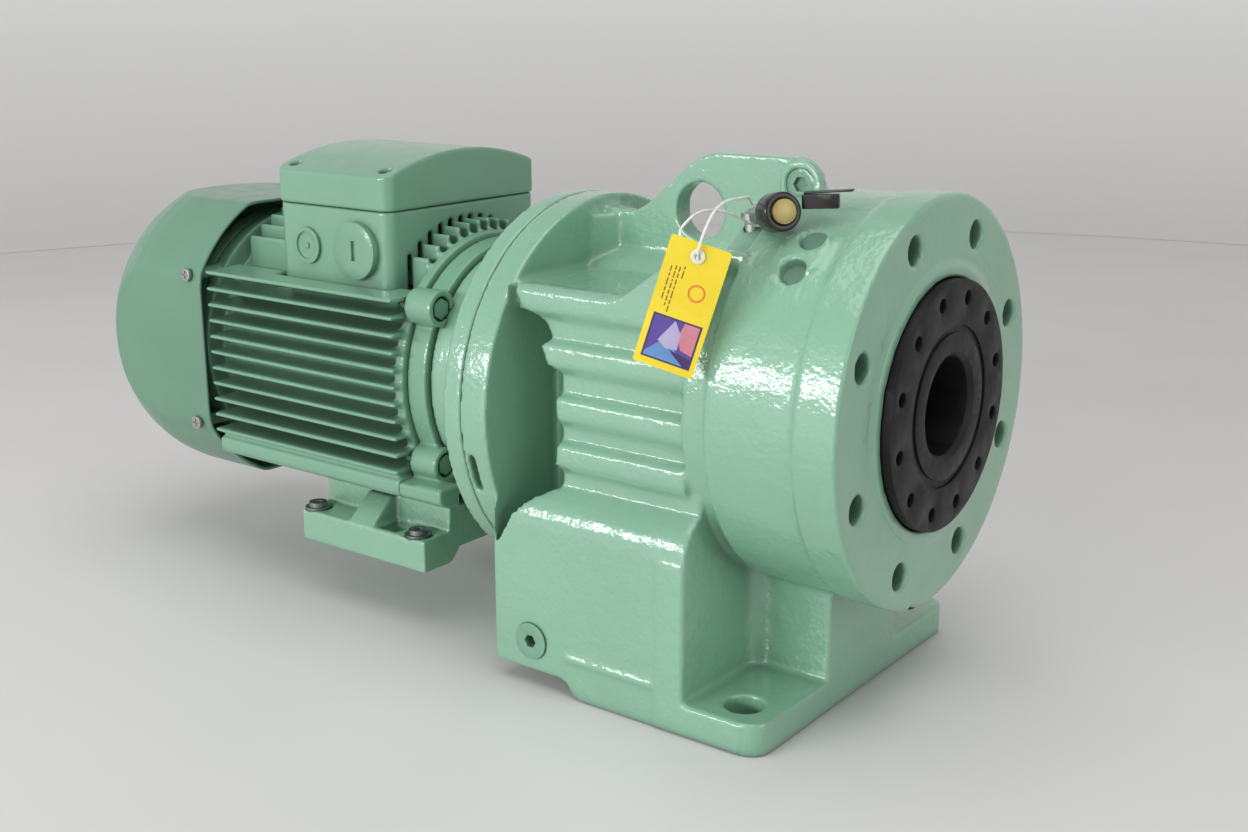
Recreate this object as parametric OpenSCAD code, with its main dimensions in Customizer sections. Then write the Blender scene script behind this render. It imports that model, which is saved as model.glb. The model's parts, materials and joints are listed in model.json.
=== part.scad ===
// Foot-mounted helical gearmotor: two-stage gearcase, flanged hollow output, finned motor.
// +X runs along the shafts towards the output flange, +Z up, origin on the floor
// at the centre of the gearcase foot holes.

/* [Gearcase] */
// Height of the output axis above the floor
axis_h = 195; // [193:1:197]
// Drop of the motor axis below the output axis
motor_drop = 22.5; // [21:0.5:24]
// Radius of the output flange
flange_r = 125; // [123.5:0.5:127]
// Thickness of the output flange rim
flange_t = 27; // [22:1:29]
// Radius of the drum behind the output flange
drum_r = 122.5; // [121:0.5:123]
// Pitch radius of the output flange holes
flange_pcr = 104.5; // [103:0.5:106]
// Diameter of the output flange holes
flange_hole = 17; // [14:0.5:18]
// Radius of the input flanges
input_r = 130; // [127:0.5:133]
// Half width of the sump and foot
sump_w = 124; // [122:0.5:126]
// Thickness of the foot plate
foot_t = 21; // [19:1:24]
// Diameter of the foot holes
foot_hole = 25; // [16:1:26]
// Distance between foot holes along the shaft
foot_px = 90; // [84:2:92]
// Distance between foot holes across the shaft
foot_py = 200; // [196:2:204]
// Depth of the side ribs
rib_d = 6; // [3:0.5:7]
// Radius of the lifting eye
eye_r = 18; // [14:0.5:18.5]
// Thickness of the lifting lug
lug_t = 16; // [14:1:20]

/* [Output] */
// Radius of the hub disc
hub_r = 75.5; // [74:0.5:78]
// How far the hub disc stands proud of the flange
hub_out = 7; // [4:0.5:9]
// Diameter of the output bore
bore_d = 60; // [50:1:62]
// Number of tapped holes in the hub
hub_holes = 12; // [8:1:14]
// Pitch radius of the tapped hub holes
hub_pcr = 65; // [63:0.5:67]

/* [Gears] */
// Centre distance between intermediate and output shafts
a2 = 76.5; // [75.5:0.5:77]
// Teeth on each pinion
z_pin = 12; // [11:1:13]
// Teeth on the intermediate gear
z_mid = 42; // [41:1:43]
// Teeth on the output gear
z_out = 39; // [38:1:40]
// Backlash at the pitch circle
backlash = 0.24; // [0.2:0.02:0.36]

/* [Motor] */
// Reach of the side fins from the motor axis
fin_reach = 103.5; // [101:0.5:104]
// Pitch of the side fins
fin_pitch = 12; // [11.5:0.1:12.2]
// Number of side fins
fin_n = 11; // [9:2:11]
// Half width of the fan cowl
cowl_w = 105; // [104.5:0.5:108]
// Sheet thickness of the fan cowl
cowl_t = 2.5; // [2:0.5:3]
// Length of the terminal box along the shaft
box_l = 112; // [106:1:114]
// Half width of the terminal box
box_w = 78; // [74:1:80]
// Height of the motor foot underside
mfoot_z = 44; // [42:1:48]

/* [Fittings] */
// Diameter of the tag string
string_d = 1.8; // [1.4:0.1:2]
// Length of the hanging tag
tag_l = 74; // [66:1:78]
// Width of the hanging tag
tag_w = 35; // [30:1:38]

/* [Hidden] */
$fn = 64;
motor_h = axis_h - motor_drop;
mid_h = axis_h - a2;
a1 = a2 - motor_drop;
m1 = 2 * a1 / (z_pin + z_mid);
m2 = 2 * a2 / (z_pin + z_out);
pa = 25;
xf = 113;
xr = -131;
xs = -152;
box_x = -318;
box_z = 229;
seam_z = 287;
cowl_x = -435;
tag_pos = [18.5, -132, 263.5];
tag_roll = 17;
tag_turn = 25;
vent_pos = [48.7, -77.9, 312.5];
string_pts = [
  [27.4, -130.6, 290.5], [26.3, -128.35, 291.7], [25, -125.6, 292.9], [20, -123.5, 295.5],
  [13, -123, 298.5], [9, -120.5, 303], [10.5, -114, 309], [12.5, -105, 312.5], [14.5, -92, 312],
  [17, -78, 308], [19.2, -68, 303], [20.6, -61.6, 300.8], [23.9, -55.8, 300.8],
  [24.4, -52.1, 306.3], [21, -53.7, 311.9], [17, -59.5, 312.6], [20, -67, 316], [25, -78, 318.6],
  [26, -90, 319.2], [25.8, -101, 318.6], [26.3, -112, 315], [27.2, -122, 307],
  [28.8, -130.2, 299], [27.3, -130.6, 293.3]];

// ---------- helpers ----------
// solid disc along X from x0 to x1
module disc(x0, x1, r, z, y = 0)
  translate([x0, y, z])
    rotate([0, 90, 0])
      cylinder(h = x1 - x0, r = r);

// ring along X
module ring(x0, x1, ro, ri, z, y = 0)
  difference() {
    disc(x0, x1, ro, z, y);
    disc(x0 - 1, x1 + 1, ri, z, y);
  }

// cone along X
module cone(x0, x1, r0, r1, z)
  translate([x0, 0, z])
    rotate([0, 90, 0])
      cylinder(h = x1 - x0, r1 = r0, r2 = r1);

// extrude a Y-Z outline along X
module prism_x(x0, x1)
  translate([x0, 0, 0])
    rotate([90, 0, 90])
      linear_extrude(x1 - x0)
        children();

// extrude an X-Z outline along Y
module prism_y(y0, y1)
  translate([0, y1, 0])
    rotate([90, 0, 0])
      linear_extrude(y1 - y0)
        children();

module box(x0, x1, y0, y1, z0, z1)
  translate([x0, y0, z0])
    cube([x1 - x0, y1 - y0, z1 - z0]);

// cylinder along Y
module disc_y(y0, y1, r, x, z)
  translate([x, y0, z])
    rotate([-90, 0, 0])
      cylinder(h = y1 - y0, r = r);

// upright cylinder
module disc_z(z0, z1, r, x, y)
  translate([x, y, z0])
    cylinder(h = z1 - z0, r = r);

// rounded rectangle outline centred on the origin
module round_rect(w, h, r)
  union() {
    square([w, h - 2 * r], center = true);
    square([w - 2 * r, h], center = true);
    for (sx = [-1, 1], sy = [-1, 1])
      translate([sx * (w / 2 - r), sy * (h / 2 - r)])
        circle(r);
  }

module both_y() {
  children();
  mirror([0, 1, 0])
    children();
}

// involute gear outline
function inv_deg(a) = tan(a) * 180 / PI - a;
function flank(rb, r, half) = half + inv_deg(pa) - (r > rb ? inv_deg(acos(rb / r)) : 0);
function pol(r, a) = [r * cos(a), r * sin(a)];
function tooth(c, rf, rs, ro, rb, half) = [
  pol(rf, c - flank(rb, rs, half)),
  for (i = [0:4]) let (r = rs + (ro - rs) * i / 4) pol(r + 0.001, c - flank(rb, r, half)),
  for (i = [4:-1:0]) let (r = rs + (ro - rs) * i / 4) pol(r + 0.001, c + flank(rb, r, half)),
  pol(rf, c + flank(rb, rs, half))];

module gear(x0, x1, z, m, n, a0) {
  rp = m * n / 2;
  rb = rp * cos(pa);
  ro = rp + 0.8 * m;
  rf = rp - 1.1 * m;
  rs = max(rf + 0.05, rb);
  half = 90 / n - backlash / 4 / rp * 180 / PI;
  pts = [for (k = [0:n - 1]) each tooth(a0 + 360 * k / n, rf, rs, ro, rb, half)];
  translate([x0, 0, z])
    rotate([90, 0, 90])
      linear_extrude(x1 - x0)
        polygon(pts);
}

// six-sided head along X, Z or Y
module hex_z(z0, z1, af, x, y)
  translate([x, y, z0])
    cylinder(h = z1 - z0, r = af / sqrt(3), $fn = 6);

// ---------- gearcase ----------
module case_outline(z1)
  both_y_2d()
    polygon([[0, 11.5], [sump_w, 11.5], [sump_w, 109], [sump_w - 0.7, 115.5], [sump_w - 3, 121.5],
      [sump_w - 7, 126.5], [112, 130.5], [107, 134], [107, z1], [0, z1]]);

module cavity_outline()
  both_y_2d()
    polygon([[0, 28], [114, 28], [114, 106], [99, 126], [99, 247], [0, 247]]);

rib_tops = [257, 224, 191, 161.5];
module ribs()
  for (t = rib_tops)
    polygon([[100, t + 2], [107, t + 2], [110.5, t + 1.4], [106.4 + rib_d, t - 0.6],
      [107 + rib_d, t - 3], [107 + rib_d, t - 11.5], [105.5 + rib_d, t - 14], [107, t - 18.5],
      [100, t - 18.5]]);

// room cut back by a cone round the bolts of the input flange
module flange_relief()
  difference() {
    cone(xr, -88, 148, 113, motor_h);
    box(xr - 2, -80, -60, 60, 0, 330);
  }

module lug_outline()
  polygon([[xr, 250], [xr, 295.5], [-112, 293], [-104, 294.5], [-96, 299], [-60, 328.5],
    [-52, 332.5], [-43, 334.8], [13, 334.8], [19, 333], [23, 328], [25, 320], [25, 250]]);

module foot_plate()
  intersection() {
    prism_y(-sump_w, sump_w)
      polygon([[-78, 11.5], [-73, 9.5], [-70, 5], [-67, 1.5], [-63, 0], [70, 0],
        [70, foot_t], [-78, foot_t]]);
    translate([-20, 0, 0])
      linear_extrude(foot_t)
        round_rect(180, 2 * sump_w, 14);
  }

module pad()
  translate([62, 0, axis_h])
    rotate([39, 0, 0])
      translate([0, 0, 100])
        linear_extrude(24.3)
          round_rect(28, 34, 12);

module gearcase_outer() {
  disc(xs, xr, input_r, motor_h);
  difference() {
    union() {
      prism_x(xr - 1, 16)
        case_outline(257);
      both_y()
        prism_x(-119, 8)
          ribs();
    }
    flange_relief();
  }
  translate([0, 0, 243])
    linear_extrude(14)
      both_y_2d_x()
        polygon([[xr - 1, 0], [xr - 1, 95], [xr, 95], [-119, 108.5], [-116, 110], [8, 110], [8, 0]]);
  // ramp from the shelf up to the drum
  prism_y(-113, 113)
    polygon([[-46, 243], [-46, 257], [-36, 261], [-8, 281], [4, 286], [14, 288], [14, 243]]);
  prism_y(-86, 86)
    polygon([[-10, 243], [-10, 280], [4, 286], [14, 288], [30, 288], [30, 243]]);
  prism_x(xr - 1, 30)
    polygon([[-28, 250], [28, 250], [28, 257], [8, 268.5], [-8, 268.5], [-28, 257]]);
  // webs between the input flange and the lifting lug
  both_y()
    translate([0, 0, 257])
      linear_extrude(34)
        polygon([[xr - 1, 4], [xr - 1, 22], [xr, 22], [-118, 8.5], [-118, 4]]);
  disc(8, 30, 117, axis_h);
  disc(26, xf - 1, drum_r, axis_h);
  disc(xf - flange_t, xf, flange_r, axis_h);
  ring(xf - 1, xf + 1.5, 84, 79.5, axis_h);
  prism_y(-lug_t / 2, lug_t / 2)
    lug_outline();
  disc_y(-16, -7, 14.5, 22.5, 320);
  foot_plate();
  // right half of the sump stands a little proud of the left half
  both_y() {
    box(-3.5, 15.6, sump_w - 1, sump_w + 1.1, 2, 107);
    box(-3.5, 56, sump_w - 1, sump_w + 1.1, 2, foot_t - 1);
  }
  box(8, 70, -44, 44, 5, 110);
  both_y()
    difference() {
      box(15, 29, 42, 57, 5, 104);
      disc_z(0, 120, 13, 29, 57);
    }
  pad();
  both_y()
    box(-74, -6, sump_w - 4, sump_w + 1.8, 26, 28.8);
  disc_z(270, 292, 11, 13.5, -52.5);
}

module gearcase_cavity() {
  prism_x(-82, -6)
    cavity_outline();
  box(-118, -81, -50, 50, 28, 240);
  box(-108, -81, -113, 113, 28, 50);
  box(-108, -94, -117, -105, 24, 40);
  disc(14, 84, 107, axis_h);
  disc(xs - 1, -110, 30, motor_h);
  disc(-131, -110, 21, mid_h);
  disc(-10, 20, 58, axis_h);
  disc(-10, 20, 15, mid_h);
  disc(80, 104, 60, axis_h);
  disc(80, 97, 14, mid_h);
  disc(101, xf + 5, 79.5, axis_h);
}

module gearcase()
  color([0.42, 0.63, 0.52])
    difference() {
      gearcase_outer();
      gearcase_cavity();
      for (k = [0:7])
        disc(xf - 22, xf + 2, flange_hole / 2, axis_h + flange_pcr * cos(22.5 + 45 * k),
          flange_pcr * sin(22.5 + 45 * k));
      for (sx = [-1, 1], sy = [-1, 1])
        disc_z(-1, sx > 0 ? foot_t + 1 : foot_t, foot_hole / 2, sx * foot_px / 2,
          sy * foot_py / 2);
      disc_y(-20, 20, eye_r, -54, 297.5);
      disc_y(-20, -9, 9.5, 22.5, 320);
      disc(xf - 4, xf + 1, 4, axis_h - flange_r + 1, -22);
      for (a = [34, 45])
        translate([62, 0, axis_h])
          rotate([a, 0, 0])
            translate([a > 40 ? -0.5 : 1.5, 0, a > 40 ? 116.5 : 119])
              cylinder(h = 14, r = 8);
      disc_y(-130, -113, 10.4, -101, 32);
      for (s = [-1, 1])
        translate([-147, 0, motor_h])
          rotate([s * 17, 0, 0])
            box(-2, 3.5, s > 0 ? -140 : 120, s > 0 ? -120 : 140, -13, 13);
      for (k = [0:7])
        disc(xs - 1, xs + 18, 4, motor_h + 112 * cos(22.5 + 45 * k), 112 * sin(22.5 + 45 * k));
      disc_z(240, 306, 5, 13.5, -52.5);
    }

// ---------- output shaft ----------
module output_hub()
  color([0.09, 0.09, 0.1])
    difference() {
      union() {
        disc(101.6, xf + hub_out, hub_r, axis_h);
        disc(-12, 102, 44, axis_h);
      }
      disc(8, xf + hub_out + 1, bore_d / 2, axis_h);
      cone(xf + hub_out - 3, xf + hub_out + 1, bore_d / 2, bore_d / 2 + 4, axis_h);
      ring(xf + hub_out - 1.5, xf + hub_out + 1, 49, 44.5, axis_h);
      for (k = [0:hub_holes - 1])
        disc(xf + hub_out - 16, xf + hub_out + 1, 4.5,
          axis_h + hub_pcr * cos(15 + 360 * k / hub_holes), hub_pcr * sin(15 + 360 * k / hub_holes));
      box(28, 58, -5, 5, axis_h + 39, axis_h + 46);
    }

module output_gear()
  color([0.6, 0.6, 0.6])
    difference() {
      gear(26, 60, axis_h, m2, z_out, -90 + 180 / z_out);
      disc(25, 61, 44, axis_h);
      box(27.9, 58.1, -5.05, 5.05, axis_h + 40, axis_h + 47);
    }

module output_key()
  color([0.5, 0.5, 0.52])
    box(28, 58, -5, 5, axis_h + 39, axis_h + 46.8);

// outer and inner race with a row of balls
module bearing(x0, x1, ro, ri, z, balls) {
  w = (ro - ri);
  rb = min(w * 0.27, (x1 - x0) * 0.42);
  rm = (ro + ri) / 2;
  union() {
    ring(x0, x1, ro, ro - w * 0.26, z);
    ring(x0, x1, ri + w * 0.26, ri, z);
    for (k = [0:balls - 1])
      translate([(x0 + x1) / 2, rm * sin(360 * k / balls), z + rm * cos(360 * k / balls)])
        sphere(rb, $fn = 24);
  }
}

module output_bearings()
  color([0.7, 0.7, 0.72])
    union() {
      bearing(-5, 13, 57.95, 44.03, axis_h, 16);
      bearing(87, 99, 59.95, 44.03, axis_h, 16);
    }

module output_seal()
  color([0.12, 0.1, 0.09])
    ring(99.4, 100.9, 59.9, 44.4, axis_h);

// ---------- intermediate shaft ----------
module mid_shaft()
  color([0.55, 0.55, 0.57])
    union() {
      disc(-130, -110, 9, mid_h);
      disc(-110, 20, 12, mid_h);
      gear(20, 70, mid_h, m2, z_pin, 90);
      disc(70, 97, 8, mid_h);
    }

module mid_gear()
  color([0.6, 0.6, 0.6])
    difference() {
      gear(-62, -38, mid_h, m1, z_mid, 90 + 180 / z_mid);
      disc(-63, -37, 12, mid_h);
      for (k = [0:5])
        disc(-63, -37, 6, mid_h + 26 * cos(60 * k), 26 * sin(60 * k));
    }

module mid_bearing_front()
  color([0.7, 0.7, 0.72])
    bearing(86.5, 96.5, 13.95, 8.03, mid_h, 8);

module mid_bearing_rear()
  color([0.7, 0.7, 0.72])
    bearing(-130, -118.5, 20.95, 9.03, mid_h, 8);

// ---------- input ----------
module input_pinion()
  color([0.6, 0.6, 0.6])
    difference() {
      gear(-66, -34, motor_h, m1, z_pin, -90);
      disc(-67, -33, 6, motor_h);
    }

module input_bearing()
  color([0.7, 0.7, 0.72])
    bearing(-135, -120, 29.95, 15.03, motor_h, 10);

module input_seal()
  color([0.12, 0.1, 0.09])
    ring(-145, -137, 29.95, 15.25, motor_h);

module motor_flange()
  color([0.42, 0.63, 0.52])
    difference() {
      union() {
        disc(-166.5, xs - 0.3, input_r, motor_h);
        cone(-176, -166, 88, 96, motor_h);
        disc(-218, -175, 88, motor_h);
      }
      disc(-219, -186, 78, motor_h);
      disc(-190, xs + 1, 31, motor_h);
      for (k = [0:7])
        disc(-176, xs + 1, 4.4, motor_h + 112 * cos(22.5 + 45 * k), 112 * sin(22.5 + 45 * k));
    }

module flange_screws()
  color([0.62, 0.63, 0.63])
    for (k = [0:7])
      translate([0, 112 * sin(22.5 + 45 * k), motor_h + 112 * cos(22.5 + 45 * k)])
        rotate([0, 90, 0])
          union() {
            translate([0, 0, -172])
              cylinder(h = 5.5, r = 7.5, $fn = 6);
            translate([0, 0, -168])
              cylinder(h = 32, r = 3.9, $fn = 24);
          }

// ---------- motor ----------
module motor_shaft()
  color([0.66, 0.66, 0.68])
    union() {
      disc(-66, -33, 5.98, motor_h);
      disc(-119, -66.2, 9, motor_h);
      disc(-462, -119, 15, motor_h);
      disc(-470, -462, 12, motor_h);
      disc(-514, -470, 9, motor_h);
    }

module rotor_core()
  color([0.45, 0.45, 0.47])
    ring(-400, -290, 43.2, 15, motor_h);

module rotor_rings()
  color([0.75, 0.76, 0.77])
    union() {
      ring(-410, -400, 42, 26, motor_h);
      ring(-290, -280, 42, 26, motor_h);
      for (k = [0:7])
        translate([0, 0, motor_h])
          rotate([45 * k, 0, 0]) {
            box(-418, -409, -1.5, 1.5, 30, 41);
            box(-281, -272, -1.5, 1.5, 30, 41);
          }
    }

module stator_core()
  color([0.4, 0.4, 0.42])
    difference() {
      disc(-400, -290, 67.9, motor_h);
      disc(-401, -289, 44, motor_h);
      for (k = [0:23])
        translate([0, 0, motor_h])
          rotate([15 * k, 0, 0])
            box(-401, -289, -2, 2, 42, 58);
    }

module windings()
  color([0.62, 0.33, 0.16])
    union() {
      ring(-428, -400, 63, 47, motor_h);
      ring(-290, -262, 63, 47, motor_h);
      for (k = [0:23])
        translate([0, 0, motor_h])
          rotate([15 * k, 0, 0])
            box(-401, -289, -1.9, 1.9, 46, 57.8);
    }

module side_fin(dz)
  polygon([[70, dz - 2.6], [fin_reach - 1, dz - 1.4], [fin_reach, dz - 0.6], [fin_reach, dz + 0.6],
    [fin_reach - 1, dz + 1.4], [70, dz + 2.6]]);

// short vertical fins on the crown and under the belly
module crown_fin(y, top)
  polygon([[y - 2, 50], [y + 2, 50], [y + 1.3, top - 1], [y + 0.6, top], [y - 0.6, top],
    [y - 1.3, top - 1]]);

module stator_frame()
  color([0.42, 0.63, 0.52])
    difference() {
      union() {
        disc(-453, -236, 82, motor_h);
        translate([0, 0, motor_h])
          prism_x(-430, -238)
            both_y_2d()
              for (k = [0:fin_n - 1])
                side_fin((k - (fin_n - 1) / 2) * fin_pitch);
        translate([0, 0, motor_h])
          prism_x(-430, -244)
            both_y_2d()
              for (k = [0:5])
                crown_fin(5 + 10.5 * k, 104 - k * k * 0.85);
        translate([0, 0, motor_h])
          prism_x(-425, -236)
            both_y_2d()
              polygon([[0, -70], [0, -88], [56, -88], [86, -83], [fin_reach - 3, -77],
                [fin_reach, -73.5], [fin_reach, -66], [fin_reach - 2, -64.5], [72, -64.5]]);
        box(box_x - 54, box_x + 54, -72, 72, 215, box_z - 0.4);
        ring(-453, -440, 97, 80, motor_h);
        ring(-244, -236, 96, 80, motor_h);
        for (s = [-1, 1], t = [-1, 1])
          disc_y(s > 0 ? 66 : -97.8, s > 0 ? 97.8 : -66, 5, -447.9, motor_h + t * 57);
      }
      for (s = [-1, 1], t = [-1, 1])
        disc_y(s > 0 ? 87 : -106, s > 0 ? 106 : -87, 2.7, -448, motor_h + t * 57);
      disc(-454, -235, 68, motor_h);
      disc_z(215, 300, 20, box_x, 0);
      box(box_x - 58, box_x + 58, -82, 82, box_z - 0.4, 300);
      for (s = [-1, 1], t = [-1, 1])
        disc(-250, -230, 3.6, motor_h + t * 54.5, s * 80);
    }

module both_y_2d_x() {
  children();
  mirror([0, 1])
    children();
}

module both_y_2d() {
  children();
  mirror([1, 0])
    children();
}

module drive_shield()
  color([0.42, 0.63, 0.52])
    difference() {
      union() {
        disc(-235.7, -219, 92, motor_h);
        for (s = [-1, 1], t = [-1, 1])
          disc(-235.7, -211.5, 12.5, motor_h + t * 54.5, s * 80);
        disc(-254, -235, 67.8, motor_h);
        disc(-219.2, -206, 77.5, motor_h);
        translate([0, 0, motor_h])
          both_y() {
            prism_x(-235.7, -220)
              polygon([[40, -66], [88, -58], [90, -64.5], [fin_reach, -66], [fin_reach, -73.5],
                [fin_reach - 3, -77], [86, -83], [56, -82.5], [40, -80]]);
            prism_x(-221, -197)
              polygon([[84, -64.5], [fin_reach - 2, -64.5], [fin_reach, -66], [fin_reach, -73.5],
                [fin_reach - 3, -77], [84, -81]]);
          }
      }
      disc(-260, -250, 60, motor_h);
      ring(-218.2, -190, 88.2, 77.6, motor_h);
      disc(-250.5, -200, 16, motor_h);
      disc(-238, -222, 32, motor_h);
      for (s = [-1, 1], t = [-1, 1]) {
        disc(-240, -210, 4.2, motor_h + t * 54.5, s * 80);
        disc(-218, -210, 8.6, motor_h + t * 54.5, s * 80);
      }
    }

module rear_shield()
  color([0.42, 0.63, 0.52])
    difference() {
      union() {
        disc(-466, -453.3, 97, motor_h);
        disc(-453.4, -440, 67.8, motor_h);
      }
      disc(-447, -430, 60, motor_h);
      disc(-470, -440, 14, motor_h);
      disc(-462, -446.5, 32, motor_h);
    }

module shield_screws()
  color([0.62, 0.63, 0.63])
    for (s = [-1, 1], t = [-1, 1])
      translate([0, s * 80, motor_h + t * 54.5])
        rotate([0, 90, 0])
          union() {
            translate([0, 0, -217.9])
              cylinder(h = 5, r = 7.4, $fn = 6);
            translate([0, 0, -248])
              cylinder(h = 30, r = 3.55, $fn = 24);
          }

module motor_bearings()
  color([0.7, 0.7, 0.72])
    union() {
      bearing(-237.5, -222.5, 31.95, 15.03, motor_h, 9);
      bearing(-461.5, -447, 31.95, 15.03, motor_h, 9);
    }

module fan()
  color([0.1, 0.1, 0.1])
    difference() {
      union() {
        disc(-502, -476, 16, motor_h);
        disc(-480, -477, 84, motor_h);
        for (k = [0:7])
          translate([0, 0, motor_h])
            rotate([45 * k, 0, 0])
              box(-506, -479, -1.5, 1.5, 12, 84);
      }
      disc(-520, -470, 9, motor_h);
    }

// dome profile turned about the shaft
module dome(r, len, back)
  translate([cowl_x, 0, motor_h])
    rotate([0, -90, 0])
      rotate_extrude($fn = 96)
        polygon(concat([[0, 0], [r, 0], [r, len]],
          [for (a = [10:10:80]) [r - back * (1 - cos(a)) * 0.9, len + back * sin(a) * 0.86]],
          [[0, len + back]]));

module cowl_prism(w, len)
  translate([cowl_x, 0, motor_h])
    rotate([90, 0, -90])
      linear_extrude(len)
        round_rect(2 * w, 2 * w + 4, 62);

module fan_cowl()
  color([0.42, 0.63, 0.52])
    difference() {
      intersection() {
        dome(cowl_w + 14, 66, 86);
        cowl_prism(cowl_w, 170);
      }
      intersection() {
        translate([1, 0, 0])
          dome(cowl_w + 14 - cowl_t, 67, 83);
        translate([1, 0, 0])
          cowl_prism(cowl_w - cowl_t, 171);
      }
      translate([-620, 0, motor_h])
        rotate([90, 0, 90])
          linear_extrude(90)
            difference() {
              union()
                for (r = [12, 24, 36, 48])
                  difference() {
                    circle(r + 8);
                    circle(r);
                  }
              for (k = [0:3])
                rotate(22.5 + 45 * k)
                  square([140, 5], center = true);
            }
      for (s = [-1, 1], t = [-1, 1])
        disc_y(s > 0 ? 80 : -115, s > 0 ? 115 : -80, 2.7, -448, motor_h + t * 57);
    }

module cowl_screws()
  color([0.72, 0.73, 0.74])
    for (s = [-1, 1], t = [-1, 1])
      translate([-448, 0, motor_h + t * 57])
        rotate([s * 90, 0, 0])
          difference() {
            union() {
              translate([0, 0, cowl_w + 0.05])
                cylinder(h = 2.6, r = 5);
              translate([0, 0, 88])
                cylinder(h = cowl_w - 87, r = 2.6);
            }
            translate([-3, -0.6, cowl_w + 1.6])
              cube([6, 1.2, 2]);
            translate([-0.6, -3, cowl_w + 1.6])
              cube([1.2, 6, 2]);
          }

// ---------- terminal box ----------
module box_foot(g, z0, z1)
  translate([box_x, 0, z0])
    linear_extrude(z1 - z0)
      round_rect(box_l - 2 * g, 2 * box_w - 2 * g, 9 - g);

module terminal_box()
  color([0.42, 0.63, 0.52])
    difference() {
      box_foot(0, box_z, seam_z);
      difference() {
        box_foot(4, box_z + 4, seam_z + 1);
        disc(-400, -240, 86.5, motor_h);
        for (sx = [-1, 1], sy = [-1, 1])
          disc_z(box_z, seam_z, 8, box_x + sx * (box_l / 2 - 11), sy * (box_w - 11));
      }
      disc_z(200, 300, 20, box_x, 0);
      disc(-400, -240, 82.6, motor_h);
      for (s = [-1, 1], k = [0:5])
        box(box_x - 60, box_x + 60, s * (5 + 10.5 * k) - 2.3, s * (5 + 10.5 * k) + 2.3, 200,
          motor_h + 105 - k * k * 0.85);
      disc_y(-90, -66, 8.2, -343, 258);
      disc_y(-90, -66, 16.1, -292, 259);
      for (sx = [-1, 1], sy = [-1, 1])
        disc_z(seam_z - 14, seam_z + 1, 2.3, box_x + sx * (box_l / 2 - 11), sy * (box_w - 11));
    }

// crowned block under which the lid is cut, g lower for the inside
module lid_dome(g)
  translate([box_x - 80, 0, 325.5 - 216 - g])
    rotate([0, 90, 0])
      cylinder(h = 160, r = 216, $fn = 160);

module terminal_lid()
  color([0.42, 0.63, 0.52])
    difference() {
      intersection() {
        lid_dome(0);
        box_foot(-1, seam_z + 0.3, 345);
      }
      difference() {
        intersection() {
          lid_dome(4);
          box_foot(3, seam_z - 1, 345);
        }
        for (sx = [-1, 1], sy = [-1, 1])
          disc_z(seam_z - 2, 345, 9.6, box_x + sx * (box_l / 2 - 11), sy * (box_w - 11));
      }
      for (sx = [-1, 1], sy = [-1, 1]) {
        disc_z(seam_z - 1, 340, 2.6, box_x + sx * (box_l / 2 - 11), sy * (box_w - 11));
        disc_z(304, 340, 5.2, box_x + sx * (box_l / 2 - 11), sy * (box_w - 11));
      }
    }

module lid_screws()
  color([0.72, 0.73, 0.74])
    for (sx = [-1, 1], sy = [-1, 1])
      translate([box_x + sx * (box_l / 2 - 11), sy * (box_w - 11), 0])
        difference() {
          union() {
            translate([0, 0, 304.05])
              cylinder(h = 3.6, r = 4.9);
            translate([0, 0, seam_z - 12])
              cylinder(h = 318 - seam_z, r = 2.2);
          }
          translate([-3, -0.6, 306.2])
            cube([6, 1.2, 3]);
        }

module terminal_board()
  color([0.25, 0.12, 0.08])
    difference() {
      union() {
        box(box_x - 38, box_x + 38, 30, 62, 281, 287.5);
        box(box_x - 36, box_x - 30, 36, 56, 257, 281);
        box(box_x + 30, box_x + 36, 36, 56, 257, 281);
      }
      for (k = [-1, 0, 1], y = [38, 54])
        disc_z(280, 289, 2.05, box_x + k * 18, y);
    }

module terminal_studs()
  color([0.78, 0.62, 0.28])
    for (k = [-1, 0, 1], y = [38, 54])
      union() {
        disc_z(276, 298, 2, box_x + k * 18, y);
        hex_z(287.6, 291.5, 8, box_x + k * 18, y);
      }

module entry_plug_small()
  color([0.4, 0.6, 0.5])
    difference() {
      union() {
        disc_y(-80.5, -78.05, 13, -343, 258);
        disc_y(-79, -68, 8.1, -343, 258);
      }
      difference() {
        disc_y(-82, -79, 10, -343, 258);
        disc_y(-83, -78, 2.2, -343, 258);
      }
      disc_y(-82, -80.2, 2.4, -343, 258);
    }

module entry_plug_large()
  color([0.4, 0.6, 0.5])
    difference() {
      union() {
        disc_y(-83.5, -78.05, 20, -292, 259);
        disc_y(-79, -68, 16, -292, 259);
      }
      box(-294, -290, -86, -81.5, 252, 266);
    }

// ---------- motor feet ----------
module foot_side()
  difference() {
    union() {
      prism_x(-339, -216)
        polygon([[58, mfoot_z + 10], [65, mfoot_z + 10], [73, mfoot_z + 1], [76, mfoot_z],
          [101.5, mfoot_z], [101.5, mfoot_z + 23], [76, mfoot_z + 23], [75, 84.6], [58, 84]]);
      prism_x(-291, -267)
        polygon([[60, mfoot_z + 10], [98, mfoot_z + 10], [99.5, mfoot_z + 24], [95, mfoot_z + 28],
          [80, 84.8], [60, 84]]);
    }
    for (x = [-333, -231])
      disc_z(mfoot_z + 21.5, 81, 11, x, 91);
    for (x = [-333, -231])
      disc_z(mfoot_z - 1, 80, 5.5, x, 91);
    box(-265, -247, 77, 96, mfoot_z + 17, 90);
  }

module motor_feet()
  color([0.42, 0.63, 0.52])
    difference() {
      union() {
        both_y()
          foot_side();
        box(-338, -221, -60, 60, 68, 83);
        box(-226, -216, -60, 60, mfoot_z + 10, 79.5);
      }
      box(-320, -240, -40, 40, 60, 90);
      disc(-244.3, -215, 96.3, motor_h);
    }

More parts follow.
